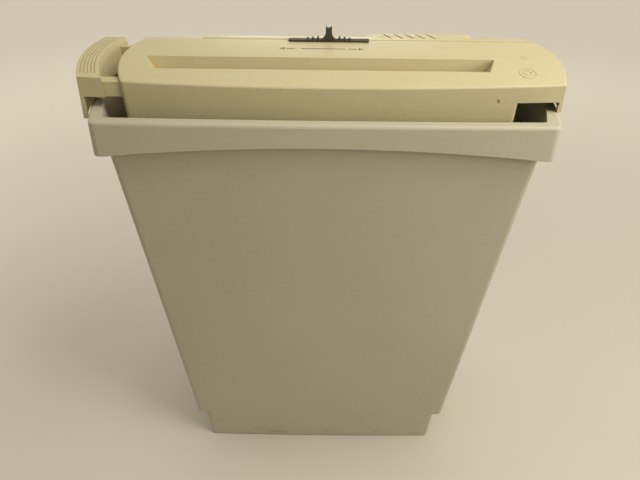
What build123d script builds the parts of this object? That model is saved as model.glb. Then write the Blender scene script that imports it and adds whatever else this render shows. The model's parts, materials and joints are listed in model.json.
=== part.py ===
from build123d import *
from math import cos, pi, radians, sin, sqrt, tan
import os

# Paper shredder: a strip-cut head that straddles a tapered waste bin.
# Millimetres, +Z up, X along the feed slot, -Y towards the user.
# The origin is the middle of the bin's base; heights in the head count from the bin's rim.

# Bin
rim_height = 385.0
rim_half_width = 151.0
rim_half_depth = 75.0
rim_bow = 12.3
face_bow = 1.5
rim_thickness = 2.5
rim_edge_radius = 2.4
bin_wall = 2.5
bin_corner = 5.0
wall_inset = 4.8
apron_height = 24.0
apron_flare = 1.2
apron_wall = 2.2
apron_arch_rise = 8.0
step_height = 44.0
step_half_width = 129.2
step_half_depth = 56.0
step_bow = 5.0
foot_half_width = 121.2
foot_base_half_width = 120.6
base_half_depth = 54.0
foot_bow = 3.0
foot_relief_height = 1.5
foot_relief_depth = 12.0
foot_relief_half_length = 88.0

# Head shell: plan
shell_wall = 2.5
front_y = -57.9
front_bow = 6.4
front_bow_half_span = 160.0
back_y = 44.7
end_radius = 80.8
end_center_y = -22.0
body_left_x = -140.4
body_right_x = 162.5
band_width = 14.4
arm_extension = 12.0
arm_end_y = 8.3
skirt_right_x = 128.0
skirt_jog_y = -38.0
pod_right_x = 131.0
pod_back_corner = 13.0

# Head shell: heights above the rim
crest_y = 10.6
crest_z = 26.4
crown_front_radius = 263.0
crown_back_radius = 24.0
crown_back_slope = 33.0
end_draft = 5.0
end_draft_z = 18.0
end_margin = 4.0
notch_z = 7.0
skirt_bottom_z = -12.0
lip_bottom_z = -8.5
lip_reach = 7.0
lip_back_y = -6.0
rest_gap = 0.3
rest_rib_wall = 2.4
rest_rib_ys = (-12.0, 6.0)
gate_mark_x = 113.5
gate_mark_z = 8.2
gate_mark_radius = 1.4
gate_mark_depth = 0.6
top_edge_radius = 1.4
corner_radius = 3.0

# Feed slot
slot_center_x = -3.2
slot_back_half_length = 119.5
slot_front_half_length = 113.3
slot_back_y = -21.3
slot_front_y = -38.0
throat_half_length = 110.5
throat_width = 5.2
throat_center_y = -26.0
throat_top_z = 9.5
throat_bottom_z = 4.5
funnel_wall = 2.2

# Vented hump and switch
hump_left_x = -90.0
hump_end_inset = 1.8
hump_front_y = 12.5
hump_shift = 5.0
hump_lift = 0.25
vent_hump_left_x = 30.0
vent_hump_right_x = 112.0
vent_hump_crest_y = 26.0
vent_hump_rise = 0.5
vent_hump_end_drop = 3.5
vent_hump_front_radius = 52.0
vent_hump_back_radius = 10.0
vent_hump_back_slope = 50.0
vent_count = 5
vent_first_x = 46.8
vent_pitch = 8.15
vent_width = 1.0
vent_length = 12.0
vent_tilt = 32.0
vent_y = 22.0
switch_x = 2.6
switch_y = 9.1
switch_travel = 6.0
slider_length = 58.8
slider_depth = 5.2
slider_plate = 1.0
slider_gap = 0.3
slider_height = 10.4
slider_knob_top = 4.4
slider_knob_base = 11.7
slider_corner = 1.5
knob_waist_share = 0.55
knob_flare = 1.0
knob_flare_rise = 1.8
knob_dish = 1.5
slider_side_inset = 0.4
slider_rib_count = 3
slider_rib_pitch = 3.7
slider_rib_width = 1.5
slider_rib_start = 2.0
slider_rib_height = 1.7
slider_rib_fall = 0.4
slider_stem_length = 6.0
slider_stem_depth = 4.0
switch_body_size = (34.0, 10.0, 9.0)
switch_body_drop = 9.0
switch_ear_radius = 2.6
switch_ear_inset = 3.0

# Extension arm
rail_clearance = 0.3
rail_end_x = -62.0
front_rail_depth = 9.2
front_rail_recess = 2.9
front_rail_top_z = 17.0
front_rail_height = 10.0
back_rail_y = 1.0
back_rail_depth = 4.5
back_rail_height = 8.0
arm_wall = 2.4
band_rise = 1.4
groove_count = 5
groove_pitch = 2.2
groove_width = 0.7
groove_depth = 0.5
groove_front_y = -47.0

# Lower housing
tub_left_x = -127.0
tub_front_y = -52.4
tub_back_y = 42.0
tub_wall = 2.5
tub_floor_z = -42.0
flange_thickness = 2.0
exit_margin = 2.4
exit_front_y = -43.0
exit_back_y = -6.5
post_radius = 3.8
screw_shank_radius = 1.4
screw_head_radius = 2.8
screw_head_height = 2.2
screw_clearance = 0.2
screw_engagement = 9.0
board_post_radius = 3.0

# Cutters
shaft_distance = 22.0
shaft_z = -10.0
disc_radius = 12.0
disc_pitch = 12.8
disc_gap = 0.15
disc_count = 17
disc_notches = 8
disc_notch_depth = 0.7
disc_notch_angle = 2.0
spacer_clearance = 0.5
hex_across_flats = 9.6
hex_clearance = 0.05
journal_radius = 4.0
running_clearance = 0.05
plate_thickness = 2.0
plate_gap = 0.8
plate_front_y = -48.0
plate_top_z = 5.0
plate_corner = 3.0
plate_rear_margin = 8.0
plate_back_gap = 2.0
bushing_radius = 6.0
bushing_overhang = 0.6
seat_clearance = 0.02
tie_rod_radius = 2.2
tie_rod_z = -31.0
tie_rod_front_y = -46.0
tie_rod_rear_y = -4.0
comb_bar = 1.6
comb_gap = 0.3
comb_top_z = -3.0
comb_bottom_z = -11.0
comb_finger_side_gap = 0.5
comb_reach = 3.4

# Gears
sync_teeth = 24
sync_width = 5.2
stage_gap = 0.6
drive_module = 1.0
drive_teeth = 36
second_small_teeth = 12
drive_width = 5.4
drive_angle = -30.0
second_module = 0.75
second_teeth = 40
first_small_teeth = 10
second_width = 4.0
second_angle = 75.0
first_module = 0.6
first_teeth = 48
pinion_teeth = 12
first_width = 3.2
first_angle = -65.0
stage_pin_radius = 2.0
tooth_backlash = 0.12
tooth_tip_share = 0.9
tooth_root_share = 1.15
pressure_angle = 20.0

# Motor and electrics
motor_radius = 18.5
motor_length = 60.0
motor_boss_radius = 6.0
motor_boss_length = 3.6
motor_shaft_radius = 1.6
motor_chamfer = 1.5
motor_shaft_stub = 1.0
motor_hole_clearance = 1.0
fan_radius = 12.0
fan_length = 8.0
fan_hub_radius = 4.0
fan_gap = 3.0
fan_blades = 8
fan_blade = 1.0
fan_tilt = 25.0
fan_root = 1.0
board_size = (50.0, 26.0, 1.6)
board_center = (-50.0, 22.0)
board_height = 6.0
board_corner_inset = 5.0
rectifier_size = (16.0, 6.0, 12.0)
capacitor_radius = 5.5
capacitor_height = 14.0
fuse_radius = 3.0
fuse_length = 20.0
component_inset = 5.0
gland_x = -100.0
gland_z = 1.0
gland_radius = 5.0
gland_flange_radius = 6.8
gland_flange = 2.0
gland_bore_radius = 3.2
gland_neck_over = 1.0

# Worked out from the sizes above
screw_places = ((-121.0, 20.0), (-80.0, 36.5), (20.0, 36.5), (121.0, 35.5))
band_inner_radius = end_radius - band_width
lip_start_dx = end_radius - lip_reach
left_end_center_x = body_left_x + band_inner_radius
right_end_center_x = body_right_x - end_radius
arm_center_x = left_end_center_x - arm_extension
rail_root_x = arm_center_x - band_inner_radius
front_radius = (front_bow_half_span ** 2 + front_bow ** 2) / (2 * front_bow)
front_shaft_y = throat_center_y - shaft_distance / 2
rear_shaft_y = throat_center_y + shaft_distance / 2
disc_thickness = disc_pitch / 2 - 2 * disc_gap
spacer_radius = shaft_distance - disc_radius - spacer_clearance
stack_half_length = (disc_count + 0.5) * disc_pitch / 2
left_plate_x = slot_center_x - stack_half_length - plate_gap - plate_thickness
right_plate_x = slot_center_x + stack_half_length + plate_gap
right_plate_face = right_plate_x + plate_thickness
first_layer_x = right_plate_face + bushing_overhang + stage_gap
second_layer_x = first_layer_x + first_width + stage_gap
drive_layer_x = second_layer_x + second_width + stage_gap
drive_distance = drive_module * (drive_teeth + second_small_teeth) / 2
second_distance = second_module * (second_teeth + first_small_teeth) / 2
first_distance = first_module * (first_teeth + pinion_teeth) / 2
drive_layer_end = drive_layer_x + drive_width
far = 400.0
cut_over = 1.0
stock_over = 10.0


def on_rim(shape):
    """Lift a shape drawn in rim heights to its place on the bin."""
    return Pos(0, 0, rim_height) * shape


def block(x0, x1, y0, y1, z0, z1):
    """A box between two corners."""
    box = Box(x1 - x0, y1 - y0, z1 - z0)
    return Pos((x0 + x1) / 2, (y0 + y1) / 2, (z0 + z1) / 2) * box


def rod_x(y, z, radius, x0, x1):
    """A cylinder along X."""
    return Pos((x0 + x1) / 2, y, z) * Rot(0, 90, 0) * Cylinder(radius, x1 - x0)


def rod_z(x, y, radius, z0, z1):
    """A cylinder along Z."""
    return Pos(x, y, (z0 + z1) / 2) * Cylinder(radius, z1 - z0)


def upright(face, z0, z1):
    """Extrude a plan face between two heights."""
    return Pos(0, 0, z0) * extrude(face, z1 - z0)


def turned(distance, angle, center):
    """The (y, z) point at a distance and an angle from a centre."""
    return (center[0] + distance * cos(radians(angle)), center[1] + distance * sin(radians(angle)))


front_axis = (front_shaft_y, shaft_z)
rear_axis = (rear_shaft_y, shaft_z)
second_axis = turned(drive_distance, drive_angle, rear_axis)
first_axis = turned(second_distance, second_angle, second_axis)
motor_axis = turned(first_distance, first_angle, first_axis)


# Waste bin

def bin_outline(half_width, half_depth, bow, corner):
    """Plan of the bin: front and back bowed a little, sides bowed more."""
    right = ThreePointArc((half_width, -half_depth), (half_width + bow, 0), (half_width, half_depth))
    left = ThreePointArc((-half_width, half_depth), (-half_width - bow, 0), (-half_width, -half_depth))
    back = ThreePointArc((half_width, half_depth), (0, half_depth + face_bow), (-half_width, half_depth))
    front = ThreePointArc((-half_width, -half_depth), (0, -half_depth - face_bow), (half_width, -half_depth))
    face = make_face([front, right, back, left])
    return fillet(face.vertices(), corner)


def bin_loft(low, high, inset=0.0):
    """Tapered solid between two plans, each (z, half width, half depth, bow)."""
    sections = []
    for z, half_width, half_depth, bow in (low, high):
        outline = bin_outline(half_width - inset, half_depth - inset, bow, bin_corner - inset)
        sections.append(Pos(0, 0, z) * outline)
    return loft(sections, ruled=True)


def make_waste_bin():
    wall_half_width = rim_half_width - wall_inset
    wall_half_depth = rim_half_depth - wall_inset
    wall_top = (rim_height, wall_half_width, wall_half_depth, rim_bow)
    wall_low = (step_height, step_half_width, step_half_depth, step_bow)
    foot_top = (step_height, foot_half_width, step_half_depth, foot_bow)
    foot_low = (0.0, foot_base_half_width, base_half_depth, foot_bow)
    outside = bin_loft(wall_low, wall_top) + bin_loft(foot_low, foot_top)

    apron_low_z = rim_height - apron_height
    apron_top = (rim_height, rim_half_width, rim_half_depth, rim_bow)
    flared = (rim_half_width + apron_flare, rim_half_depth + apron_flare, rim_bow)
    apron = bin_loft((apron_low_z, *flared), apron_top)
    rim_edges = [e for e in apron.edges() if abs(e.center().Z - rim_height) < 0.01]
    apron = fillet(rim_edges, rim_edge_radius)
    under_flange = block(-far, far, -far, far, 0, rim_height - rim_thickness)
    apron -= bin_loft((apron_low_z, *flared), apron_top, apron_wall) & under_flange
    for side in (-1, 1):
        arch_end = rim_half_width - bin_corner
        arch_top = (0, apron_low_z + apron_arch_rise)
        arch = ThreePointArc((-arch_end, apron_low_z), arch_top, (arch_end, apron_low_z))
        chord = Line((arch_end, apron_low_z), (-arch_end, apron_low_z))
        arch_cut = extrude(Plane.XZ * make_face([arch, chord]), -rim_half_depth * side * 2)
        apron -= arch_cut - bin_loft(wall_low, wall_top)

    inside_low = (step_height + bin_wall, step_half_width, step_half_depth, step_bow)
    inside = bin_loft(inside_low, wall_top, bin_wall)
    foot_inside_low = (bin_wall, foot_base_half_width, base_half_depth, foot_bow)
    foot_inside_top = (step_height + bin_wall, foot_half_width, step_half_depth, foot_bow)
    inside += bin_loft(foot_inside_low, foot_inside_top, bin_wall)
    shell = outside + apron - inside
    for side in (-1, 1):
        edge_y = side * base_half_depth
        relief = Box(2 * foot_relief_half_length, 2 * foot_relief_depth, 2 * foot_relief_height)
        shell -= Pos(0, edge_y, 0) * relief
    return shell


# Plan outlines of the head

def front_edge_y(x):
    """The bowed front face in plan."""
    return front_y + front_radius - sqrt(front_radius ** 2 - x ** 2)


def end_dx(y, radius):
    """Half chord of an end circle at a depth."""
    return sqrt(radius ** 2 - (y - end_center_y) ** 2)


def end_corner(center_x, radius, side):
    """Where an end circle meets the bowed front."""
    y = front_y + front_bow
    for _ in range(12):
        y = front_edge_y(center_x + side * end_dx(y, radius))
    return (center_x + side * end_dx(y, radius), y)


right_corner = end_corner(right_end_center_x, end_radius + end_margin, 1)
left_corner = end_corner(left_end_center_x, band_inner_radius, -1)
split_x = left_corner[0]
split_dx = left_end_center_x - split_x
split_inner_y = end_center_y + sqrt(band_inner_radius ** 2 - split_dx ** 2)
split_outer_y = end_center_y + sqrt(end_radius ** 2 - split_dx ** 2)


def left_end_edges():
    """Left end of the body: round inside the band, then the back corner."""
    back_left = (left_end_center_x - end_dx(back_y, end_radius), back_y)
    middle_y = (back_y + split_outer_y) / 2
    corner_mid = (left_end_center_x - end_dx(middle_y, end_radius), middle_y)
    nose = (left_end_center_x - band_inner_radius, end_center_y)
    return back_left, [
        ThreePointArc(back_left, corner_mid, (split_x, split_outer_y)),
        Line((split_x, split_outer_y), (split_x, split_inner_y)),
        ThreePointArc((split_x, split_inner_y), nose, left_corner),
    ]


def corners_at(face, *points):
    """Vertices of a plan face at given points."""
    found = []
    for vertex in face.vertices():
        for x, y in points:
            if abs(vertex.X - x) < 0.01 and abs(vertex.Y - y) < 0.01:
                found.append(vertex)
    return found


def body_outline():
    """Plan of the head without the arm; the right end stays large, for its drafted wall to be cut."""
    back_left, left_edges = left_end_edges()
    large_radius = end_radius + end_margin
    back_right = (right_end_center_x + end_dx(back_y, large_radius), back_y)
    nose = (right_end_center_x + large_radius, end_center_y)
    middle_x = (left_corner[0] + right_corner[0]) / 2
    edges = [
        ThreePointArc(left_corner, (middle_x, front_edge_y(middle_x)), right_corner),
        ThreePointArc(right_corner, nose, back_right),
        Line(back_right, back_left),
    ]
    face = make_face(edges + left_edges)
    return fillet(corners_at(face, left_corner), corner_radius)


def skirt_outline():
    """Plan of the part of the head that hangs inside the bin's mouth."""
    back_left, left_edges = left_end_edges()
    skirt_corner = (skirt_right_x, front_edge_y(skirt_right_x))
    middle_x = (left_corner[0] + skirt_right_x) / 2
    right = Polyline(
        skirt_corner,
        (skirt_right_x, skirt_jog_y),
        (pod_right_x, skirt_jog_y),
        (pod_right_x, back_y - pod_back_corner),
        (pod_right_x - pod_back_corner, back_y),
        back_left,
    )
    front = ThreePointArc(left_corner, (middle_x, front_edge_y(middle_x)), skirt_corner)
    face = make_face([front] + right.edges() + left_edges)
    return fillet(corners_at(face, left_corner, skirt_corner), corner_radius)


def crown_height(y, drop=0.0):
    """Height of the crowned top at a depth, with the surface moved in by drop."""
    base = crown_front_radius if y < crest_y else crown_back_radius
    radius = base - drop
    slope = radians(crown_back_slope)
    past_arc = y - crest_y - radius * sin(slope)
    if past_arc > 0:
        return crest_z - base + radius * cos(slope) - past_arc * tan(slope)
    return crest_z - base + sqrt(radius ** 2 - (y - crest_y) ** 2)


def crown(drop=0.0):
    """Everything under the crowned top, as a solid along X: two arcs, then a straight slope at the back."""
    front = front_y - 6.0
    back = back_y - max(drop, 0.0) * 0.5
    low = skirt_bottom_z - 4.0
    arc_end = crest_y + (crown_back_radius - drop) * sin(radians(crown_back_slope))
    front_mid = (front + crest_y) / 2
    back_mid = (arc_end + crest_y) / 2
    face = make_face([
        Line((back, low), (front, low)),
        Line((front, low), (front, crown_height(front, drop))),
        ThreePointArc((front, crown_height(front, drop)), (front_mid, crown_height(front_mid, drop)),
                      (crest_y, crown_height(crest_y, drop))),
        ThreePointArc((crest_y, crown_height(crest_y, drop)), (back_mid, crown_height(back_mid, drop)),
                      (arc_end, crown_height(arc_end, drop))),
        Line((arc_end, crown_height(arc_end, drop)), (back, crown_height(back, drop))),
        Line((back, crown_height(back, drop)), (back, low)),
    ])
    return Pos(-far / 2, 0, 0) * extrude(Plane.YZ * face, far)


def funnel(grow=0.0):
    """Feed slot: tapered mouth over a straight throat, grown on all sides for its walls."""
    mouth_z = crest_z + 3.0
    throat_back_y = throat_center_y + throat_width / 2
    throat_front_y = throat_center_y - throat_width / 2

    def reach(at_throat, at_edge, edge_z):
        return at_throat + (at_edge - at_throat) * (mouth_z - throat_top_z) / (edge_z - throat_top_z)

    back_z = crown_height(slot_back_y)
    front_z = crown_height(slot_front_y)
    mouth_back_y = reach(throat_back_y, slot_back_y, back_z)
    mouth_front_y = reach(throat_front_y, slot_front_y, front_z)
    back_half = reach(throat_half_length, slot_back_half_length, back_z)
    front_half = reach(throat_half_length, slot_front_half_length, front_z)
    mouth = make_face(Polyline(
        (-back_half - grow, mouth_back_y + grow), (back_half + grow, mouth_back_y + grow),
        (front_half + grow, mouth_front_y - grow), (-front_half - grow, mouth_front_y - grow), close=True))
    half = throat_half_length + grow
    throat = make_face(Polyline(
        (-half, throat_back_y + grow), (half, throat_back_y + grow),
        (half, throat_front_y - grow), (-half, throat_front_y - grow), close=True))
    cone = loft([Pos(0, 0, throat_top_z) * throat, Pos(0, 0, mouth_z) * mouth], ruled=True)
    low = throat_bottom_z - (0.0 if grow else 2.0)
    neck = upright(throat, low, throat_top_z)
    return Pos(slot_center_x, 0, 0) * (cone + neck)


def end_ring(center_x, outer, inner):
    """Plan ring about an end's centre."""
    return Pos(center_x, end_center_y) * (Circle(outer) - Circle(inner))


def end_cone(center_x, inset=0.0):
    """Round end of the head with its wall drafted, so that it widens towards the rim."""
    low = skirt_bottom_z - 5.0
    high = crest_z + 12.0
    grow = tan(radians(end_draft))
    low_radius = end_radius - inset + (end_draft_z - low) * grow
    high_radius = end_radius - inset - (high - end_draft_z) * grow
    return Pos(center_x, end_center_y, (low + high) / 2) * Cone(low_radius, high_radius, high - low)


def right_trim():
    """What lies outside the drafted wall at the right end."""
    right_half = block(right_end_center_x, far, -far, far, skirt_bottom_z - 4.0, crest_z + 11.0)
    return right_half - end_cone(right_end_center_x)


def front_limit(z0, z1):
    """Everything behind the bowed front face."""
    disc = Pos(0, front_y + front_radius) * Circle(front_radius)
    return upright(disc, z0, z1)


def long_hump():
    """Low raised back of the top: the crown moved back and a little up."""
    moved = Pos(0, hump_shift, hump_lift) * crown()
    reach = block(hump_left_x, right_end_center_x, hump_front_y, back_y, notch_z, far / 4)
    right_part = end_cone(right_end_center_x, hump_end_inset)
    right_part &= block(right_end_center_x, far, hump_front_y, back_y, notch_z, far / 4)
    return moved & (reach + right_part)


def vent_hump():
    """Swelling that carries the air slits, rounded in both directions."""
    top = crest_z + vent_hump_rise
    reach = sqrt(vent_hump_front_radius ** 2 - (vent_hump_front_radius - vent_hump_rise - shell_wall) ** 2)
    start_y = vent_hump_crest_y - reach
    start_z = crest_z - shell_wall
    slope = radians(vent_hump_back_slope)
    front_mid_y = vent_hump_crest_y - reach / 2
    front_mid_z = top - vent_hump_front_radius + sqrt(vent_hump_front_radius ** 2 - (reach / 2) ** 2)
    back_mid = (vent_hump_crest_y + vent_hump_back_radius * sin(slope / 2),
                top - vent_hump_back_radius * (1 - cos(slope / 2)))
    arc_end = (vent_hump_crest_y + vent_hump_back_radius * sin(slope),
               top - vent_hump_back_radius * (1 - cos(slope)))
    back_z = arc_end[1] - (back_y - arc_end[0]) * tan(slope)
    crest = (vent_hump_crest_y, top)
    across = make_face([
        Line((back_y, notch_z), (start_y, notch_z)),
        Line((start_y, notch_z), (start_y, start_z)),
        ThreePointArc((start_y, start_z), (front_mid_y, front_mid_z), crest),
        ThreePointArc(crest, back_mid, arc_end),
        Line(arc_end, (back_y, back_z)),
        Line((back_y, back_z), (back_y, notch_z)),
    ])
    length = vent_hump_right_x - vent_hump_left_x
    shares = ((0.0, -1.0), (0.07, -0.3), (0.19, 0.0), (0.5, 0.08), (0.87, 0.0), (0.96, -0.35), (1.0, -0.9))
    points = [(vent_hump_left_x + length * along, top + vent_hump_end_drop * up) for along, up in shares]
    lengthwise = make_face([
        Spline(*points),
        Line(points[-1], (vent_hump_right_x, notch_z)),
        Line((vent_hump_right_x, notch_z), (vent_hump_left_x, notch_z)),
        Line((vent_hump_left_x, notch_z), points[0]),
    ])
    swelling = Pos(-far / 2, 0, 0) * extrude(Plane.YZ * across, far)
    return swelling & extrude(Plane.XZ * lengthwise, far / 2, both=True)


def vents():
    """Slanted air slits through the swelling."""
    cuts = []
    for index in range(vent_count):
        slit = Box(vent_width, vent_length, crest_z)
        cuts.append(Pos(vent_first_x + index * vent_pitch, vent_y, crest_z) * Rot(0, 0, vent_tilt) * slit)
    return cuts


def front_rail_box(grow=0.0):
    """Front rail of the arm, or its channel when grown."""
    y0 = left_corner[1] + front_rail_recess
    z0 = front_rail_top_z - front_rail_height
    return block(rail_root_x, rail_end_x, y0 - grow, y0 + front_rail_depth + grow,
                 z0 - grow, front_rail_top_z + grow)


def back_rail_box(grow=0.0):
    """Back rail of the arm, or its channel when grown."""
    z1 = crown_height(back_rail_y, shell_wall) - rail_clearance * 2
    z0 = z1 - back_rail_height
    return block(rail_root_x, rail_end_x, back_rail_y - grow,
                 back_rail_y + back_rail_depth + grow, z0 - grow, z1 + grow)


def make_upper_housing():
    body = body_outline()
    skirt = skirt_outline()
    outside_end = right_trim()
    top = (upright(body, notch_z, crest_z + stock_over) & crown()) - outside_end
    crown_faces = [f for f in top.faces() if f.center().Z > notch_z + 1 and abs(f.normal_at().Z) > 0.6]
    rim_edges = []
    for face in crown_faces:
        for edge in face.edges():
            shared = abs(edge.center().X - (body_left_x + body_right_x) / 2) < 30 and edge.center().Y > 0
            at_split = abs(edge.center().X - split_x) < 0.01
            if not shared and not at_split:
                rim_edges.append(edge)
    top = fillet(rim_edges, top_edge_radius)

    shell = top + upright(skirt, skirt_bottom_z, notch_z)
    lip_start_x = right_end_center_x + lip_start_dx
    lip = upright(body, rest_gap, notch_z) & block(lip_start_x, far, -far, lip_back_y, -far, far)
    shell += lip - outside_end
    shell += long_hump()
    shell += vent_hump()

    under_top = crown(shell_wall)
    main_room = upright(offset(skirt, -shell_wall), skirt_bottom_z - 1, far / 2) & under_top
    end_plan = Pos(right_end_center_x, end_center_y) * Circle(end_radius + end_margin)
    end_plan &= Pos(0, front_y + front_radius) * Circle(front_radius - shell_wall)
    end_plan &= Pos(right_end_center_x + far / 2, back_y - shell_wall - far / 2) * Rectangle(far, far)
    end_plan -= skirt
    end_room = upright(end_plan, rest_gap - 1, crest_z) & under_top & end_cone(right_end_center_x, shell_wall)
    shell -= main_room
    shell -= end_room

    for rib_y in rest_rib_ys:
        rib = block(pod_right_x - cut_over, far, rib_y - rest_rib_wall / 2, rib_y + rest_rib_wall / 2,
                    rest_gap, far / 2)
        shell += rib & crown(shell_wall / 2) & end_cone(right_end_center_x, shell_wall / 2)

    shell += funnel(funnel_wall) & crown(shell_wall / 2)
    for x, y in screw_places:
        shell += rod_z(x, y, post_radius, skirt_bottom_z, far / 2) & crown(shell_wall / 2)
    for side in (-1, 1):
        ear_x = switch_x + side * (switch_body_size[0] / 2 - switch_ear_inset)
        ear_low = crest_z - switch_body_drop
        shell += rod_z(ear_x, switch_y, switch_ear_radius, ear_low, far / 2) & crown(shell_wall / 2)

    shell -= funnel()
    slot_half = slider_stem_length / 2 + switch_travel + rail_clearance
    slot_half_depth = slider_stem_depth / 2 + rail_clearance
    shell -= block(switch_x - slot_half, switch_x + slot_half,
                   switch_y - slot_half_depth, switch_y + slot_half_depth, 0, far / 2)
    for cut in vents():
        shell -= cut
    shell -= front_rail_box(rail_clearance)
    shell -= back_rail_box(rail_clearance)
    gate_mark = Rot(90, 0, 0) * Cylinder(gate_mark_radius, 2 * gate_mark_depth)
    shell -= Pos(gate_mark_x, front_edge_y(gate_mark_x), gate_mark_z) * gate_mark
    for x, y in screw_places:
        shell -= rod_z(x, y, screw_shank_radius + screw_clearance / 4, skirt_bottom_z - 1,
                       skirt_bottom_z + screw_engagement + 1)
    shell -= Pos(gland_x, back_y, gland_z) * Rot(90, 0, 0) * Cylinder(gland_radius, 4 * shell_wall)
    return on_rim(shell)


def make_lower_housing():
    flange_low = skirt_bottom_z - flange_thickness
    tub_right = pod_right_x - tub_wall
    tub_low = tub_floor_z - tub_wall
    outer = block(tub_left_x, skirt_right_x, tub_front_y, tub_back_y, tub_low, skirt_bottom_z)
    outer += block(0, pod_right_x, skirt_jog_y, back_y - pod_back_corner, tub_low, skirt_bottom_z)
    inner = block(tub_left_x + tub_wall, skirt_right_x - tub_wall,
                  tub_front_y + tub_wall, tub_back_y - tub_wall, tub_floor_z, 0)
    inner += block(0, tub_right, skirt_jog_y + tub_wall, back_y - pod_back_corner - tub_wall, tub_floor_z, 0)
    tub = outer + upright(skirt_outline(), flange_low, skirt_bottom_z)
    tub -= inner
    for x, y in screw_places:
        tub += rod_z(x, y, post_radius, tub_low, skirt_bottom_z)
        tub -= rod_z(x, y, screw_shank_radius + screw_clearance, tub_low, skirt_bottom_z)
        tub -= rod_z(x, y, screw_head_radius + screw_clearance, tub_low,
                     tub_low + screw_head_height + screw_clearance)
    for x, y in board_corners():
        tub += rod_z(x, y, board_post_radius, tub_floor_z, tub_floor_z + board_height)
    exit_left = left_plate_x + plate_thickness + exit_margin
    exit_right = right_plate_x - exit_margin
    tub -= block(exit_left, exit_right, exit_front_y, exit_back_y, tub_floor_z - far, tub_floor_z + cut_over)
    return on_rim(tub)


def make_housing_screws():
    screws = []
    head_low = tub_floor_z - tub_wall
    for x, y in screw_places:
        head = rod_z(x, y, screw_head_radius, head_low, head_low + screw_head_height)
        shank_top = skirt_bottom_z + screw_engagement
        shank = rod_z(x, y, screw_shank_radius, head_low + screw_head_height, shank_top)
        screws.append(on_rim(head + shank))
    return Compound(screws)


# Extension arm

def arm_ring(outer_inset, inner_inset):
    """Ring of the arm between its drafted outer wall and its upright inner wall."""
    inner = Pos(arm_center_x, end_center_y) * Circle(band_inner_radius + inner_inset)
    return end_cone(arm_center_x, outer_inset) - upright(inner, -far, far)


def make_extension_arm():
    ring = arm_ring(0.0, 0.0)
    split_plane_x = split_x - arm_extension
    reach = block(-far, split_plane_x, -far / 2, arm_end_y, notch_z, far)
    band = ring & crown(-band_rise) & reach & front_limit(notch_z, far / 4)
    lip = ring & front_limit(lip_bottom_z, notch_z)
    band += lip & block(-far, arm_center_x - lip_start_dx, -far, lip_back_y, -far, far)
    hollow = arm_ring(arm_wall, arm_wall) & crown(arm_wall)
    hollow &= block(-far, split_plane_x - arm_wall, left_corner[1] + arm_wall, arm_end_y - arm_wall,
                    -far, far)
    band -= hollow
    lowered = crown(groove_depth - band_rise)
    ring_middle = (end_radius + band_inner_radius) / 2
    for index in range(groove_count):
        radius = ring_middle + (index - (groove_count - 1) / 2) * groove_pitch
        groove = end_ring(arm_center_x, radius + groove_width / 2, radius - groove_width / 2)
        groove_cut = upright(groove, notch_z, far / 4) - lowered
        band -= groove_cut & block(-far, far, groove_front_y, far / 2, 0, far)
    arm = band
    for rib_y in rest_rib_ys:
        rib = block(-far, split_plane_x, rib_y - rest_rib_wall / 2, rib_y + rest_rib_wall / 2,
                    rest_gap, far / 4)
        arm += rib & arm_ring(arm_wall / 2, arm_wall / 2) & crown(arm_wall / 2)
    arm += front_rail_box() + back_rail_box()
    return on_rim(arm)


# Switch

def make_switch_slider():
    base_z = crest_z + slider_gap
    plate = block(switch_x - slider_length / 2, switch_x + slider_length / 2, switch_y - slider_depth / 2,
                  switch_y + slider_depth / 2, base_z, base_z + slider_plate)
    plate = fillet(plate.edges().filter_by(Axis.Z), slider_corner)
    knob_z = base_z + slider_plate
    top_z = base_z + slider_height
    waist_z = base_z + slider_height * knob_waist_share
    base_half = slider_knob_base / 2
    top_half = slider_knob_top / 2
    flare = (top_half + knob_flare, knob_z + knob_flare_rise)
    side = make_face([
        Line((-base_half, knob_z), (base_half, knob_z)),
        ThreePointArc((base_half, knob_z), flare, (top_half, waist_z)),
        Line((top_half, waist_z), (top_half, top_z)),
        ThreePointArc((top_half, top_z), (0, top_z - knob_dish), (-top_half, top_z)),
        Line((-top_half, top_z), (-top_half, waist_z)),
        ThreePointArc((-top_half, waist_z), (-flare[0], flare[1]), (-base_half, knob_z)),
    ])
    half_depth = slider_depth / 2 - slider_side_inset
    knob = Pos(switch_x, switch_y, 0) * extrude(Plane.XZ * side, half_depth, both=True)
    slider = plate + knob
    for direction in (-1, 1):
        for index in range(slider_rib_count):
            x = switch_x + direction * (base_half + slider_rib_start + index * slider_rib_pitch)
            rib_top = knob_z + slider_rib_height - slider_rib_fall * index
            slider += block(x - slider_rib_width / 2, x + slider_rib_width / 2, switch_y - half_depth,
                            switch_y + half_depth, base_z + slider_plate / 2, rib_top)
    stem_low = crest_z - switch_body_drop + rail_clearance
    slider += block(switch_x - slider_stem_length / 2, switch_x + slider_stem_length / 2,
                    switch_y - slider_stem_depth / 2, switch_y + slider_stem_depth / 2,
                    stem_low, base_z + slider_plate / 2)
    return on_rim(slider)


def make_slide_switch_body():
    length, depth, height = switch_body_size
    top = crest_z - switch_body_drop
    return on_rim(block(switch_x - length / 2, switch_x + length / 2,
                        switch_y - depth / 2, switch_y + depth / 2, top - height, top))


# Cutters

def hexagon(across_flats):
    return RegularPolygon(across_flats / 2, 6, major_radius=False)


def along_axis(face, axis, x0, x1):
    """Extrude a face drawn about a shaft along X, with its own x along Y."""
    return Pos(x0, axis[0], axis[1]) * extrude(Plane.YZ * face, x1 - x0)


def make_cutter_shaft(axis, left_end, right_end):
    hex_left = left_plate_x + plate_thickness + plate_gap / 2
    hex_right = right_plate_x - plate_gap / 2
    shaft = along_axis(hexagon(hex_across_flats), axis, hex_left, hex_right)
    shaft += rod_x(*axis, journal_radius, left_end, hex_left)
    shaft += rod_x(*axis, journal_radius, hex_right, right_end)
    return on_rim(shaft)


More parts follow.
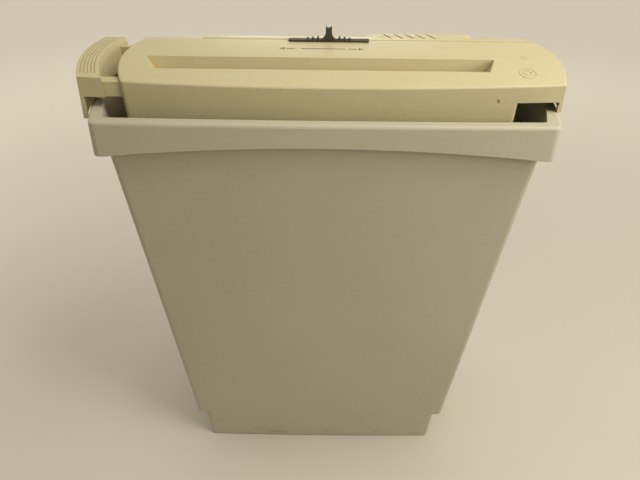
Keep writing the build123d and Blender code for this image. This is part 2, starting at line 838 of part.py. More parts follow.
def disc_face():
    """Cutting disc: round with small notches that pull the paper in, on a hexagon bore."""
    points = []
    for index in range(disc_notches):
        start = 360.0 * index / disc_notches
        points.append((disc_radius * cos(radians(start)), disc_radius * sin(radians(start))))
        low = disc_radius - disc_notch_depth
        notch = radians(start + disc_notch_angle)
        points.append((low * cos(notch), low * sin(notch)))
        half = start + 180.0 / disc_notches
        points.append((disc_radius * cos(radians(half)), disc_radius * sin(radians(half))))
    return make_face(Polyline(*points, close=True)) - hexagon(hex_across_flats + 2 * hex_clearance)


def stack_places(phase):
    """Middle of each disc along one shaft; the other shaft is half a pitch along."""
    first = slot_center_x - stack_half_length + disc_pitch / 4 + phase * disc_pitch / 2
    return [first + index * disc_pitch for index in range(disc_count)]


def make_discs(axis, phase):
    discs = []
    for x in stack_places(phase):
        discs.append(on_rim(along_axis(disc_face(), axis, x - disc_thickness / 2, x + disc_thickness / 2)))
    return Compound(discs)


def make_spacers(axis, phase):
    """Rings between the discs, and at the free end of the stack."""
    ring = RegularPolygon(spacer_radius, 16) - hexagon(hex_across_flats + 2 * hex_clearance)
    step = 1 if phase == 0 else -1
    rings = []
    for x in stack_places(phase):
        middle = x + step * disc_pitch / 2
        half = (disc_pitch - disc_thickness) / 2
        rings.append(on_rim(along_axis(ring, axis, middle - half, middle + half)))
    return Compound(rings)


def make_comb(axis, phase, side):
    """Stripper comb: a bar beside one roller, with a finger at each spacer."""
    spacer_y = axis[0] + side * spacer_radius
    bar_near = spacer_y + side * (comb_gap + comb_reach)
    bar_far = bar_near + side * comb_bar
    low_y, high_y = sorted((bar_near, bar_far))
    comb = block(left_plate_x + plate_thickness, right_plate_x, low_y, high_y, comb_bottom_z, comb_top_z)
    step = 1 if phase == 0 else -1
    finger_half = (disc_pitch - disc_thickness) / 2 - comb_finger_side_gap
    tip = spacer_y + side * comb_gap
    low_y, high_y = sorted((tip, bar_near))
    for x in stack_places(phase):
        middle = x + step * disc_pitch / 2
        comb += block(middle - finger_half, middle + finger_half, low_y, high_y, comb_bottom_z, comb_top_z)
    return on_rim(comb)


def make_side_plate(x0, back, holes):
    plate = block(x0, x0 + plate_thickness, plate_front_y, back, tub_floor_z, plate_top_z)
    plate = fillet(plate.edges().filter_by(Axis.X), plate_corner)
    for axis, radius in holes:
        plate -= rod_x(*axis, radius, x0 - cut_over, x0 + plate_thickness + cut_over)
    return on_rim(plate)


def make_left_side_plate():
    hole = bushing_radius + seat_clearance
    holes = [(front_axis, hole), (rear_axis, hole)]
    return make_side_plate(left_plate_x, tie_rod_rear_y + plate_rear_margin, holes)


def make_right_side_plate():
    hole = bushing_radius + seat_clearance
    pin = stage_pin_radius + seat_clearance
    shaft = motor_shaft_radius + motor_hole_clearance
    holes = [(front_axis, hole), (rear_axis, hole)]
    holes += [(second_axis, pin), (first_axis, pin), (motor_axis, shaft)]
    return make_side_plate(right_plate_x, tub_back_y - tub_wall - plate_back_gap, holes)


def make_shaft_bushings():
    bushings = []
    for axis in (front_axis, rear_axis):
        for x0 in (left_plate_x, right_plate_x):
            low = x0 - (bushing_overhang if x0 < 0 else plate_gap / 4)
            high = x0 + plate_thickness + (plate_gap / 4 if x0 < 0 else bushing_overhang)
            ring = rod_x(*axis, bushing_radius, low, high)
            ring -= rod_x(*axis, journal_radius + running_clearance, low - cut_over, high + cut_over)
            bushings.append(on_rim(ring))
    return Compound(bushings)


def make_tie_rods():
    left_face = left_plate_x + plate_thickness
    rods = []
    for y in (tie_rod_front_y, tie_rod_rear_y):
        rods.append(on_rim(rod_x(y, tie_rod_z, tie_rod_radius, left_face, right_plate_x)))
    return Compound(rods)


# Gears

def gear_face(teeth, module, phase, bore):
    """Spur gear with straight flanks; phase is the angle of one tooth."""
    pitch = module * teeth / 2
    tip = pitch + tooth_tip_share * module
    root = pitch - tooth_root_share * module
    half = (pi / 2 - tooth_backlash) * module / 2
    slope = tan(radians(pressure_angle))
    points = []
    for index in range(teeth):
        middle = phase + 360.0 * index / teeth
        for radius, sign in ((root, -1), (tip, -1), (tip, 1), (root, 1)):
            thickness = half - (radius - pitch) * slope
            angle = radians(middle) + sign * thickness / pitch
            points.append((radius * cos(angle), radius * sin(angle)))
    face = make_face(Polyline(*points, close=True))
    return face - Circle(bore) if bore else face


def mesh_phase(teeth, toward):
    """Phase that puts a gap, not a tooth, on the line towards the mating gear."""
    return toward + 180.0 / teeth


def make_sync_gear(axis, toward, tooth_first):
    phase = toward if tooth_first else mesh_phase(sync_teeth, toward)
    face = gear_face(sync_teeth, shaft_distance / sync_teeth, phase, journal_radius + seat_clearance)
    right = left_plate_x - bushing_overhang - stage_gap / 2
    return on_rim(along_axis(face, axis, right - sync_width, right))


def make_drive_gear():
    face = gear_face(drive_teeth, drive_module, drive_angle, journal_radius + seat_clearance)
    return on_rim(along_axis(face, rear_axis, drive_layer_x, drive_layer_end))


def make_second_stage_gear():
    bore = stage_pin_radius + running_clearance
    small_phase = mesh_phase(second_small_teeth, drive_angle + 180)
    small = gear_face(second_small_teeth, drive_module, small_phase, bore)
    large = gear_face(second_teeth, second_module, second_angle, bore)
    hub = Circle(second_module * first_small_teeth / 2) - Circle(bore)
    gear = along_axis(large, second_axis, second_layer_x, second_layer_x + second_width)
    gear += along_axis(small, second_axis, second_layer_x + second_width, drive_layer_end)
    gear += along_axis(hub, second_axis, right_plate_face + stage_gap / 2, second_layer_x)
    return on_rim(gear)


def make_first_stage_gear():
    bore = stage_pin_radius + running_clearance
    small_phase = mesh_phase(first_small_teeth, second_angle + 180)
    small = gear_face(first_small_teeth, second_module, small_phase, bore)
    large = gear_face(first_teeth, first_module, first_angle, bore)
    hub = Circle(second_module * first_small_teeth / 2) - Circle(bore)
    gear = along_axis(large, first_axis, first_layer_x, first_layer_x + first_width)
    gear += along_axis(small, first_axis, first_layer_x + first_width, second_layer_x + second_width)
    gear += along_axis(hub, first_axis, right_plate_face + stage_gap / 2, first_layer_x)
    return on_rim(gear)


def make_stage_pin(axis):
    return on_rim(rod_x(*axis, stage_pin_radius, right_plate_x, drive_layer_end + stage_gap))


def make_motor_pinion():
    face = gear_face(pinion_teeth, first_module, mesh_phase(pinion_teeth, first_angle + 180),
                     motor_shaft_radius + seat_clearance)
    return on_rim(along_axis(face, motor_axis, first_layer_x, first_layer_x + first_width))


# Motor and electrics

def make_motor_can():
    right = right_plate_x - motor_boss_length
    left = right - motor_length
    can = rod_x(*motor_axis, motor_radius, left, right)
    can = chamfer(can.edges().filter_by(GeomType.CIRCLE), motor_chamfer)
    can += rod_x(*motor_axis, motor_boss_radius, right, right_plate_x)
    can += rod_x(*motor_axis, motor_boss_radius, left - fan_gap / 2, left)
    can -= rod_x(*motor_axis, motor_shaft_radius + running_clearance, left - far, right_plate_x + cut_over)
    return on_rim(can)


def fan_left_x():
    return right_plate_x - motor_boss_length - motor_length - fan_gap - fan_length


def make_motor_shaft():
    right = first_layer_x + first_width + stage_gap / 2
    return on_rim(rod_x(*motor_axis, motor_shaft_radius, fan_left_x() - motor_shaft_stub, right))


def make_motor_fan():
    left = fan_left_x()
    fan = rod_x(*motor_axis, fan_hub_radius, left, left + fan_length)
    for index in range(fan_blades):
        reach = (fan_hub_radius + fan_radius) / 2
        span = fan_radius - fan_hub_radius + 2 * fan_root
        blade = Pos(0, reach, 0) * Rot(0, fan_tilt, 0) * Box(fan_length, span, fan_blade)
        turn = Rot(360.0 * index / fan_blades, 0, 0)
        fan += Pos(left + fan_length / 2, *motor_axis) * turn * blade
    right = left + fan_length
    fan -= rod_x(*motor_axis, motor_shaft_radius + seat_clearance, left - cut_over, right + cut_over)
    return on_rim(fan)


def board_corners():
    length, depth, _ = board_size
    x, y = board_center
    reach_x = length / 2 - board_corner_inset
    reach_y = depth / 2 - board_corner_inset
    return [(x + sx * reach_x, y + sy * reach_y) for sx in (-1, 1) for sy in (-1, 1)]


def board_top_z():
    return tub_floor_z + board_height + board_size[2]


def make_circuit_board():
    length, depth, thickness = board_size
    low = tub_floor_z + board_height
    x, y = board_center
    return on_rim(block(x - length / 2, x + length / 2, y - depth / 2, y + depth / 2, low, low + thickness))


def make_board_components():
    x, y = board_center
    top = board_top_z()
    length, depth, _ = board_size
    left = x - length / 2 + component_inset
    front = y - depth / 2 + component_inset
    back = y + depth / 2 - component_inset
    long, deep, tall = rectifier_size
    rectifier = block(left, left + long, front, front + deep, top, top + tall)
    capacitor_x = x + length / 2 - component_inset - capacitor_radius
    capacitor = rod_z(capacitor_x, y, capacitor_radius, top, top + capacitor_height)
    fuse = rod_x(back - fuse_radius, top + fuse_radius, fuse_radius, left, left + fuse_length)
    return Compound([on_rim(rectifier), on_rim(capacitor), on_rim(fuse)])


def make_cord_gland():
    """Rubber inlet seated in the back wall, with an empty bore for the mains cord."""
    seat = Pos(gland_x, back_y, gland_z) * Rot(90, 0, 0)
    neck = seat * Cylinder(gland_radius - seat_clearance, 2 * shell_wall + gland_neck_over)
    flange = Rot(90, 0, 0) * Cylinder(gland_flange_radius, gland_flange)
    outer = Pos(gland_x, back_y + gland_flange / 2, gland_z) * flange
    bore = seat * Cylinder(gland_bore_radius, far / 4)
    return on_rim(neck + outer - bore)


sync_right = left_plate_x - bushing_overhang - stage_gap / 2
shaft_left_end = sync_right - sync_width - stage_gap / 2
plain_right_end = right_plate_face + bushing_overhang

parts = {
    "waste_bin": make_waste_bin(),
    "upper_housing": make_upper_housing(),
    "lower_housing": make_lower_housing(),
    "housing_screws": make_housing_screws(),
    "extension_arm": make_extension_arm(),
    "switch_slider": make_switch_slider(),
    "slide_switch_body": make_slide_switch_body(),
    "left_side_plate": make_left_side_plate(),
    "right_side_plate": make_right_side_plate(),
    "shaft_bushings": make_shaft_bushings(),
    "tie_rods": make_tie_rods(),
    "front_cutter_shaft": make_cutter_shaft(front_axis, shaft_left_end, plain_right_end),
    "front_cutter_discs": make_discs(front_axis, 0),
    "front_spacers": make_spacers(front_axis, 0),
    "front_stripper_comb": make_comb(front_axis, 0, -1),
    "front_sync_gear": make_sync_gear(front_axis, 0.0, True),
    "rear_cutter_shaft": make_cutter_shaft(rear_axis, shaft_left_end, drive_layer_end + stage_gap / 2),
    "rear_cutter_discs": make_discs(rear_axis, 1),
    "rear_spacers": make_spacers(rear_axis, 1),
    "rear_stripper_comb": make_comb(rear_axis, 1, 1),
    "rear_sync_gear": make_sync_gear(rear_axis, 180.0, False),
    "drive_gear": make_drive_gear(),
    "second_stage_gear": make_second_stage_gear(),
    "second_stage_pin": make_stage_pin(second_axis),
    "first_stage_gear": make_first_stage_gear(),
    "first_stage_pin": make_stage_pin(first_axis),
    "motor_pinion": make_motor_pinion(),
    "motor_shaft": make_motor_shaft(),
    "motor_fan": make_motor_fan(),
    "motor_can": make_motor_can(),
    "circuit_board": make_circuit_board(),
    "board_components": make_board_components(),
    "cord_gland": make_cord_gland(),
}

os.makedirs("parts", exist_ok=True)
for name, shape in parts.items():
    export_step(shape, f"parts/{name}.step")
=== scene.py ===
import json
import math

import bpy
from mathutils import Matrix, Vector
from mathutils.bvhtree import BVHTree


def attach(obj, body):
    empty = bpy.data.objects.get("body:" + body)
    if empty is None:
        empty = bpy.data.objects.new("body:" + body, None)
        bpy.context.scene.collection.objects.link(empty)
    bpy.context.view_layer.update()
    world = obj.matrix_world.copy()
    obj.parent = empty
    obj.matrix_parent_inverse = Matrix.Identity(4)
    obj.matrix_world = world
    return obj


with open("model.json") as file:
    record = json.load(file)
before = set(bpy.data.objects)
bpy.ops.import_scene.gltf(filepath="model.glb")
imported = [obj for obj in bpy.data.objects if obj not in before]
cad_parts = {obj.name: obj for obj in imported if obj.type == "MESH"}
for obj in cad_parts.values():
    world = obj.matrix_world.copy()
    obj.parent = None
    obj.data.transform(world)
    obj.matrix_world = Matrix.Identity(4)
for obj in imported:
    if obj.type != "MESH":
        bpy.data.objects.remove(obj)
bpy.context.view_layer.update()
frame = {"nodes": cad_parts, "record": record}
nodes = frame["nodes"]

# Camera: where the photograph was taken from, in the part's own frame
camera_place = Vector((-0.00244, -0.3797, 0.529))
camera_pitch_down = math.radians(37.83)
camera_yaw = math.radians(0.07)
camera_roll = math.radians(-0.72)
camera_lens_mm = 29.14
camera_sensor_mm = 36.0
camera_clip_start = 0.01

# Light: an even world and soft square lamps, with sizes in metres and powers in watts
world_colour = (1.0, 0.98, 0.94)
world_strength = 0.28
lamp_colour = (1.0, 0.97, 0.92)
lamps = {
    "key": {"place": (0.45, -0.21, 1.15), "target": (0.0, 0.0, 0.3), "size": 0.55, "power": 6.0},
    "side": {"place": (0.62, -0.40, 0.60), "target": (0.15, 0.0, 0.35), "size": 0.30, "power": 2.1},
    "back_fill": {"place": (0.0, 1.20, 0.55), "target": (0.0, 0.0, 0.25), "size": 0.60, "power": 3.0},
    "left_fill": {"place": (-1.20, 0.30, 0.50), "target": (0.0, 0.0, 0.25), "size": 0.60, "power": 2.4},
}

# Stage: a pale floor that fades into a pale backdrop
floor_colour = (0.50, 0.45, 0.36)
floor_roughness = 0.7
floor_half_size = 6.0
backdrop_colour = (0.74, 0.67, 0.53)
backdrop_strength = 0.85
glow_start = 0.25
glow_end = 1.4
glow_near = 0.22
glow_far = 0.58
glow_shade_reach = 0.12

# Noise: scales are per metre, and most of a noise lies between these two levels
noise_low = 0.3
noise_high = 0.7
noise_roughness = 0.55
even_stretch = (1.0, 1.0, 1.0)

# Finish of moulded plastic
white = (1.0, 1.0, 1.0)
drift_scale = 7.0
speckle_scale = 260.0
speckle_stops = [(0.35, 0.98), (0.65, 1.01)]
sheen_scale = 45.0
sheen_spread = 0.04
grain_depth_share = 0.1
# Painted shade: corners within reach of another surface darken towards this warm tint
corner_shade_tint = (1.0, 0.94, 0.80)
full_shade_below = 0.30
no_shade_above = 0.90
corner_samples = 6
edge_samples = 4

# Wear low on the bin
scuff_full_height = 0.01
scuff_top_height = 0.055
scuff_tint = (0.86, 0.82, 0.76)
streak_scale = 28.0
streak_stretch = (1.0, 1.0, 5.0)
streak_stops = [(0.58, 0.0), (0.69, 1.0)]
speck_scale = 95.0
speck_stops = [(0.775, 0.0), (0.80, 1.0)]

# Finish of worked metal
tool_mark_scale = 700.0
tool_mark_strength = 0.15
tool_mark_depth = 0.0002
tool_mark_dark = 0.85
tool_mark_bright = 1.08
tool_mark_roughness = 0.07
metal_edge_radius = 0.0002
ground_stretch = (0.1, 1.0, 1.0)


def new_material(name):
    """An empty node material with its output and a principled shader."""
    material = bpy.data.materials.new(name)
    material.use_nodes = True
    tree = material.node_tree
    tree.nodes.clear()
    output = tree.nodes.new("ShaderNodeOutputMaterial")
    shader = tree.nodes.new("ShaderNodeBsdfPrincipled")
    tree.links.new(shader.outputs["BSDF"], output.inputs["Surface"])
    return material, tree, shader


def feed(tree, value, socket):
    """Give a socket its value, which is another socket, a colour or a number."""
    if hasattr(value, "node"):
        tree.links.new(value, socket)
    elif hasattr(value, "__len__"):
        socket.default_value = (*value, 1.0)
    else:
        socket.default_value = value


def noise(tree, scale, detail, stretch=even_stretch):
    """Noise in the part's own metres, so that grain keeps its real size."""
    place = tree.nodes.new("ShaderNodeTexCoord")
    mapping = tree.nodes.new("ShaderNodeMapping")
    mapping.inputs["Scale"].default_value = stretch
    texture = tree.nodes.new("ShaderNodeTexNoise")
    texture.inputs["Scale"].default_value = scale
    texture.inputs["Detail"].default_value = detail
    texture.inputs["Roughness"].default_value = noise_roughness
    tree.links.new(place.outputs["Object"], mapping.inputs["Vector"])
    tree.links.new(mapping.outputs["Vector"], texture.inputs["Vector"])
    return texture.outputs["Fac"]


def ramp(tree, value, stops):
    """Map a value through two (position, level or colour) stops."""
    node = tree.nodes.new("ShaderNodeValToRGB")
    for element, (position, level) in zip(node.color_ramp.elements, stops):
        element.position = position
        colour = level if hasattr(level, "__len__") else (level, level, level)
        element.color = (*colour, 1.0)
    tree.links.new(value, node.inputs["Fac"])
    return node.outputs["Color"]


def spread(tree, value, low, high):
    """Map a noise so that it runs from a low level to a high one."""
    return ramp(tree, value, [(noise_low, low), (noise_high, high)])


def mix(tree, factor, first, second, mode="MIX"):
    """Mix two colours; each may be a socket or a plain colour."""
    node = tree.nodes.new("ShaderNodeMix")
    node.data_type = "RGBA"
    node.blend_type = mode
    colour_inputs = [socket for socket in node.inputs if socket.type == "RGBA"]
    for socket, value in zip(colour_inputs, (first, second)):
        feed(tree, value, socket)
    feed(tree, factor, node.inputs["Factor"])
    return next(socket for socket in node.outputs if socket.type == "RGBA")


def multiply(tree, first, second):
    """One colour times another."""
    return mix(tree, 1.0, first, second, "MULTIPLY")


def tint(colour, level):
    """A colour made darker or lighter by a factor."""
    return tuple(min(1.0, channel * level) for channel in colour)


def bump(tree, shader, height, strength, distance, edge_radius):
    """Fine relief, over edges that a small radius softens."""
    node = tree.nodes.new("ShaderNodeBump")
    node.inputs["Strength"].default_value = strength
    node.inputs["Distance"].default_value = distance
    tree.links.new(height, node.inputs["Height"])
    if edge_radius:
        bevel = tree.nodes.new("ShaderNodeBevel")
        bevel.samples = edge_samples
        bevel.inputs["Radius"].default_value = edge_radius
        tree.links.new(bevel.outputs["Normal"], node.inputs["Normal"])
    tree.links.new(node.outputs["Normal"], shader.inputs["Normal"])


def scuffs(tree):
    """Rubbed streaks and a few specks that thin out above the foot."""
    place = tree.nodes.new("ShaderNodeTexCoord")
    split = tree.nodes.new("ShaderNodeSeparateXYZ")
    tree.links.new(place.outputs["Object"], split.inputs["Vector"])
    low = ramp(tree, split.outputs["Z"], [(scuff_full_height, 1.0), (scuff_top_height, 0.0)])
    streaks = ramp(tree, noise(tree, streak_scale, detail=3.0, stretch=streak_stretch), streak_stops)
    specks = ramp(tree, noise(tree, speck_scale, detail=1.0), speck_stops)
    marks = mix(tree, 1.0, streaks, specks, "LIGHTEN")
    return mix(tree, multiply(tree, marks, low), white, scuff_tint)


def painted_corner_shade(tree, corner_shade_depth, reach):
    """Painted shade: a warm tint that darkens corners, within a reach of another surface."""
    corners = tree.nodes.new("ShaderNodeAmbientOcclusion")
    corners.samples = corner_samples
    corners.inputs["Distance"].default_value = reach
    shaded_tint = tint(corner_shade_tint, 1.0 - corner_shade_depth)
    return ramp(tree, corners.outputs["AO"], [(full_shade_below, shaded_tint), (no_shade_above, white)])


def moulded_plastic(name, colour, aged, rough, grain_size, grain, corner_shade_depth=0.4, corner_shade_reach=0.02,
                    edge_radius=0.0005, gloss=0.35, scuffed=False):
    """Smooth moulding: slow colour drift, painted shade in corners and a very fine grain."""
    material, tree, shader = new_material(name)
    base = mix(tree, spread(tree, noise(tree, drift_scale, detail=3.0), 0.0, 1.0), colour, aged)
    base = multiply(tree, base, ramp(tree, noise(tree, speckle_scale, detail=2.0), speckle_stops))
    # Painted shade in the corners, from an occlusion mask
    base = multiply(tree, base, painted_corner_shade(tree, corner_shade_depth, corner_shade_reach))
    if scuffed:
        base = multiply(tree, base, scuffs(tree))
    tree.links.new(base, shader.inputs["Base Color"])
    sheen = spread(tree, noise(tree, sheen_scale, detail=5.0), rough - sheen_spread, rough + sheen_spread)
    tree.links.new(sheen, shader.inputs["Roughness"])
    shader.inputs["Specular IOR Level"].default_value = gloss
    texture = noise(tree, 1.0 / grain_size, detail=2.0)
    bump(tree, shader, texture, grain, grain_size * grain_depth_share, edge_radius)
    return material


def metal(name, colour, rough, stretch=even_stretch):
    """Worked metal with fine tool marks."""
    material, tree, shader = new_material(name)
    marks = noise(tree, tool_mark_scale, detail=3.0, stretch=stretch)
    dark = tint(colour, tool_mark_dark)
    bright = tint(colour, tool_mark_bright)
    tree.links.new(mix(tree, spread(tree, marks, 0.0, 1.0), dark, bright), shader.inputs["Base Color"])
    sheen = spread(tree, marks, rough - tool_mark_roughness, rough + tool_mark_roughness)
    tree.links.new(sheen, shader.inputs["Roughness"])
    shader.inputs["Metallic"].default_value = 1.0
    bump(tree, shader, marks, tool_mark_strength, tool_mark_depth, metal_edge_radius)
    return material


# Materials of the record's slots: grain sizes are in metres, and the corner darkening is painted shade
slot_materials = {
    "head_plastic": moulded_plastic(
        "aged_cream_plastic", colour=(0.665, 0.585, 0.335), aged=(0.635, 0.55, 0.30),
        rough=0.46, grain_size=0.0006, grain=0.12, corner_shade_depth=0.15, corner_shade_reach=0.006,
    ),
    "bin_plastic": moulded_plastic(
        "bin_beige_plastic", colour=(0.57, 0.526, 0.37), aged=(0.54, 0.495, 0.34),
        rough=0.52, grain_size=0.0009, grain=0.15, corner_shade_depth=0.12, corner_shade_reach=0.006, scuffed=True,
    ),
    "black_plastic": moulded_plastic(
        "black_plastic", colour=(0.018, 0.018, 0.018), aged=(0.03, 0.029, 0.027),
        rough=0.5, grain_size=0.0007, grain=0.4,
    ),
    "switch_plastic": moulded_plastic(
        "switch_grey_plastic", colour=(0.065, 0.058, 0.040), aged=(0.085, 0.076, 0.052),
        rough=0.65, grain_size=0.0005, grain=0.4, corner_shade_depth=0.3, edge_radius=0.0003, gloss=0.15,
    ),
    "white_nylon": moulded_plastic(
        "white_nylon", colour=(0.66, 0.64, 0.57), aged=(0.6, 0.57, 0.48),
        rough=0.4, grain_size=0.0005, grain=0.2,
    ),
    "component_plastic": moulded_plastic(
        "component_plastic", colour=(0.02, 0.025, 0.05), aged=(0.03, 0.03, 0.05),
        rough=0.3, grain_size=0.0005, grain=0.15,
    ),
    "board_laminate": moulded_plastic(
        "board_laminate", colour=(0.28, 0.17, 0.06), aged=(0.24, 0.14, 0.05),
        rough=0.5, grain_size=0.0004, grain=0.2,
    ),
    "black_rubber": moulded_plastic(
        "black_rubber", colour=(0.015, 0.015, 0.015), aged=(0.025, 0.025, 0.024),
        rough=0.7, grain_size=0.0006, grain=0.3,
    ),
    "zinc_steel": metal("zinc_steel", colour=(0.56, 0.56, 0.54), rough=0.38),
    "bright_steel": metal("ground_steel", colour=(0.60, 0.60, 0.61), rough=0.26, stretch=ground_stretch),
    "motor_steel": metal("dark_enamel", colour=(0.10, 0.10, 0.11), rough=0.45),
    "bronze": metal("bronze", colour=(0.55, 0.36, 0.16), rough=0.32),
}
print_ink = moulded_plastic(
    "printed_ink", colour=(0.13, 0.12, 0.09), aged=(0.17, 0.155, 0.12),
    rough=0.6, grain_size=0.0004, grain=0.1, corner_shade_depth=0.0, edge_radius=0.0,
)

node_slots = {part["node"]: part["material_slot"] for part in frame["record"]["subparts"]}
for name, obj in nodes.items():
    obj.data.materials.clear()
    obj.data.materials.append(slot_materials[node_slots[name]])

# Marks on the head's top: how deep they are rooted, and how far they stand out
mark_root = 0.0002
print_height = 0.00008
emboss_height = 0.0002
ray_start_height = 1.0
head_top = BVHTree.FromObject(nodes["upper_housing"], bpy.context.evaluated_depsgraph_get())

# Printed position marks by the switch
arrow_sides = 3
arrow_width = 0.0052
arrow_depth = 0.0048
arrow_inner_share = 0.45
print_y = -0.0066
left_arrow_x = -0.0300
right_arrow_x = 0.0250
rule_x = -0.0015
rule_length = 0.0310
rule_width = 0.0009
tail_length = 0.0060
tail_shift = 0.0056

# Embossed rings and dashes at the right end
ring_place = (0.1350, -0.0390)
ring_sides = 48
ring_sizes = (0.0120, 0.0060)
ring_inner_shares = (0.85, 0.70)
dash_x = 0.1380
dash_places_y = (-0.0190, -0.0160)
dash_length = 0.0050
dash_width = 0.0008


def polygon(sides, place, width, depth, turn=0.0):
    """Corners of an even polygon in plan, or of an oval where it has many sides."""
    points = []
    for i in range(sides):
        angle = turn + 2 * math.pi * i / sides
        points.append((place[0] + width / 2 * math.cos(angle), place[1] + depth / 2 * math.sin(angle)))
    return points


def hollow(outer, share):
    """An outline and the same one shrunk towards its middle, as a ring."""
    middle_x = sum(x for x, y in outer) / len(outer)
    middle_y = sum(y for x, y in outer) / len(outer)
    inner = [(middle_x + (x - middle_x) * share, middle_y + (y - middle_y) * share) for x, y in outer]
    return outer, inner


def bar(place, length, width):
    """A plain stroke along X, as an outline without an inner one."""
    left, right = place[0] - length / 2, place[0] + length / 2
    near, far = place[1] - width / 2, place[1] + width / 2
    return [(left, near), (right, near), (right, far), (left, far)], None


def on_head(point, lift):
    """A plan point set on the head's top, and then raised by a lift."""
    surface = head_top.ray_cast(Vector((*point, ray_start_height)), Vector((0.0, 0.0, -1.0)))[0]
    return surface + Vector((0.0, 0.0, lift))


def raised_marks(name, shapes, height, material):
    """Low closed solids that follow the head's top, from outlines in plan."""
    vertices = []
    faces = []
    for outer, inner in shapes:
        loops = []
        for outline in (outer, inner or ()):
            for lift in (-mark_root, height):
                first = len(vertices)
                vertices.extend(on_head(point, lift) for point in outline)
                loops.append([first + i for i in range(len(outline))])
        outer_low, outer_high, inner_low, inner_high = loops
        count = len(outer)
        for i in range(count):
            j = (i + 1) % count
            faces.append((outer_low[i], outer_low[j], outer_high[j], outer_high[i]))
            if inner:
                faces.append((inner_low[j], inner_low[i], inner_high[i], inner_high[j]))
                faces.append((outer_high[i], outer_high[j], inner_high[j], inner_high[i]))
                faces.append((outer_low[j], outer_low[i], inner_low[i], inner_low[j]))
        if not inner:
            faces.append(outer_high)
            faces.append(outer_low[::-1])
    mesh = bpy.data.meshes.new(name)
    mesh.from_pydata(vertices, [], faces)
    mesh.materials.append(material)
    piece = bpy.data.objects.new(name, mesh)
    bpy.context.scene.collection.objects.link(piece)
    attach(piece, "head")


def arrow(x, turn):
    """A hollow arrow head in plan, turned the way it points."""
    return hollow(polygon(arrow_sides, (x, print_y), arrow_width, arrow_depth, turn), arrow_inner_share)


switch_marks = [
    arrow(left_arrow_x, math.pi),
    bar((left_arrow_x + tail_shift, print_y), tail_length, rule_width),
    bar((rule_x, print_y), rule_length, rule_width),
    arrow(right_arrow_x, 0.0),
    bar((right_arrow_x - tail_shift, print_y), tail_length, rule_width),
]
raised_marks("switch_position_marks", switch_marks, print_height, print_ink)

embossed = [
    hollow(polygon(ring_sides, ring_place, size, size), share)
    for size, share in zip(ring_sizes, ring_inner_shares)
]
embossed += [bar((dash_x, y), dash_length, dash_width) for y in dash_places_y]
raised_marks("embossed_marks", embossed, emboss_height, slot_materials["head_plastic"])


def math_node(tree, operation, first, second):
    """One sum on two values, each a socket or a number."""
    node = tree.nodes.new("ShaderNodeMath")
    node.operation = operation
    for socket, value in zip(node.inputs, (first, second)):
        feed(tree, value, socket)
    return node.outputs["Value"]


def looked_at(tree):
    """1 on rays that see a surface, straight or in a shine, and 0 on rays that light other things."""
    path = tree.nodes.new("ShaderNodeLightPath")
    seen = math_node(tree, "MAXIMUM", path.outputs["Is Camera Ray"], path.outputs["Is Glossy Ray"])
    return math_node(tree, "MAXIMUM", seen, path.outputs["Is Transmission Ray"])


def floor_glow(tree):
    """Keeps the floor pale away from the part, only where it is looked at, so that it lights nothing; an
    occlusion mask takes the glow away near the part, as painted shade.
    """
    place = tree.nodes.new("ShaderNodeTexCoord")
    distance = tree.nodes.new("ShaderNodeVectorMath")
    distance.operation = "LENGTH"
    tree.links.new(place.outputs["Object"], distance.inputs[0])
    reach = tree.nodes.new("ShaderNodeMapRange")
    reach.interpolation_type = "SMOOTHSTEP"
    tree.links.new(distance.outputs["Value"], reach.inputs["Value"])
    reach.inputs["From Min"].default_value = glow_start
    reach.inputs["From Max"].default_value = glow_end
    reach.inputs["To Min"].default_value = glow_near
    reach.inputs["To Max"].default_value = glow_far
    # Painted shade: the glow fades where the part is near, darkening the floor around and under it
    shade = tree.nodes.new("ShaderNodeAmbientOcclusion")
    shade.inputs["Distance"].default_value = glow_shade_reach
    glow = math_node(tree, "MULTIPLY", reach.outputs["Result"], shade.outputs["AO"])
    return math_node(tree, "MULTIPLY", glow, looked_at(tree))


def make_floor():
    """One large square at the height that the part stands on."""
    half = floor_half_size
    corners = [(-half, -half, 0), (half, -half, 0), (half, half, 0), (-half, half, 0)]
    mesh = bpy.data.meshes.new("floor")
    mesh.from_pydata(corners, [], [(0, 1, 2, 3)])
    floor = bpy.data.objects.new("floor", mesh)
    bpy.context.scene.collection.objects.link(floor)
    material, tree, shader = new_material("pale_floor")
    shader.inputs["Base Color"].default_value = (*floor_colour, 1.0)
    shader.inputs["Roughness"].default_value = floor_roughness
    shader.inputs["Emission Color"].default_value = (*backdrop_colour, 1.0)
    tree.links.new(floor_glow(tree), shader.inputs["Emission Strength"])
    mesh.materials.append(material)


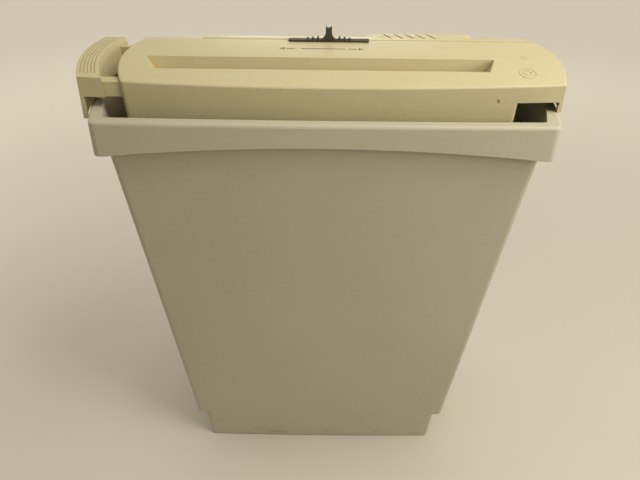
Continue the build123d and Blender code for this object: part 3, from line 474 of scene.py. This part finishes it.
def area_light(name, place, target, size, power):
    """A soft square lamp that faces a target."""
    light = bpy.data.lights.new(name, "AREA")
    light.size = size
    light.energy = power
    light.color = lamp_colour
    lamp = bpy.data.objects.new(name, light)
    lamp.location = place
    lamp.rotation_euler = (Vector(target) - Vector(place)).to_track_quat("-Z", "Y").to_euler()
    bpy.context.scene.collection.objects.link(lamp)


def make_world():
    """Even light for the part, and a pale backdrop where the world itself is looked at."""
    world = bpy.data.worlds.new("soft_room")
    world.use_nodes = True
    tree = world.node_tree
    light = tree.nodes["Background"]
    light.inputs["Color"].default_value = (*world_colour, 1.0)
    light.inputs["Strength"].default_value = world_strength
    backdrop = tree.nodes.new("ShaderNodeBackground")
    backdrop.inputs["Color"].default_value = (*backdrop_colour, 1.0)
    backdrop.inputs["Strength"].default_value = backdrop_strength
    choose = tree.nodes.new("ShaderNodeMixShader")
    tree.links.new(looked_at(tree), choose.inputs["Fac"])
    tree.links.new(light.outputs["Background"], choose.inputs[1])
    tree.links.new(backdrop.outputs["Background"], choose.inputs[2])
    tree.links.new(choose.outputs["Shader"], tree.nodes["World Output"].inputs["Surface"])
    bpy.context.scene.world = world


def make_camera():
    """The camera at the photograph's place, from its yaw, pitch and roll."""
    forward = Vector((
        math.sin(camera_yaw) * math.cos(camera_pitch_down),
        math.cos(camera_yaw) * math.cos(camera_pitch_down),
        -math.sin(camera_pitch_down),
    ))
    level_right = Vector((math.cos(camera_yaw), -math.sin(camera_yaw), 0.0))
    level_down = forward.cross(level_right)
    right = math.cos(camera_roll) * level_right + math.sin(camera_roll) * level_down
    down = math.cos(camera_roll) * level_down - math.sin(camera_roll) * level_right
    lens = bpy.data.cameras.new("camera")
    lens.sensor_fit = "HORIZONTAL"
    lens.sensor_width = camera_sensor_mm
    lens.lens = camera_lens_mm
    lens.clip_start = camera_clip_start
    camera = bpy.data.objects.new("camera", lens)
    turn = Matrix((right, -down, -forward)).transposed()
    camera.matrix_world = Matrix.Translation(camera_place) @ turn.to_4x4()
    bpy.context.scene.collection.objects.link(camera)
    bpy.context.scene.camera = camera


make_floor()
for name, lamp in lamps.items():
    area_light(name, **lamp)
make_world()
make_camera()
bpy.context.scene.view_settings.view_transform = "Standard"
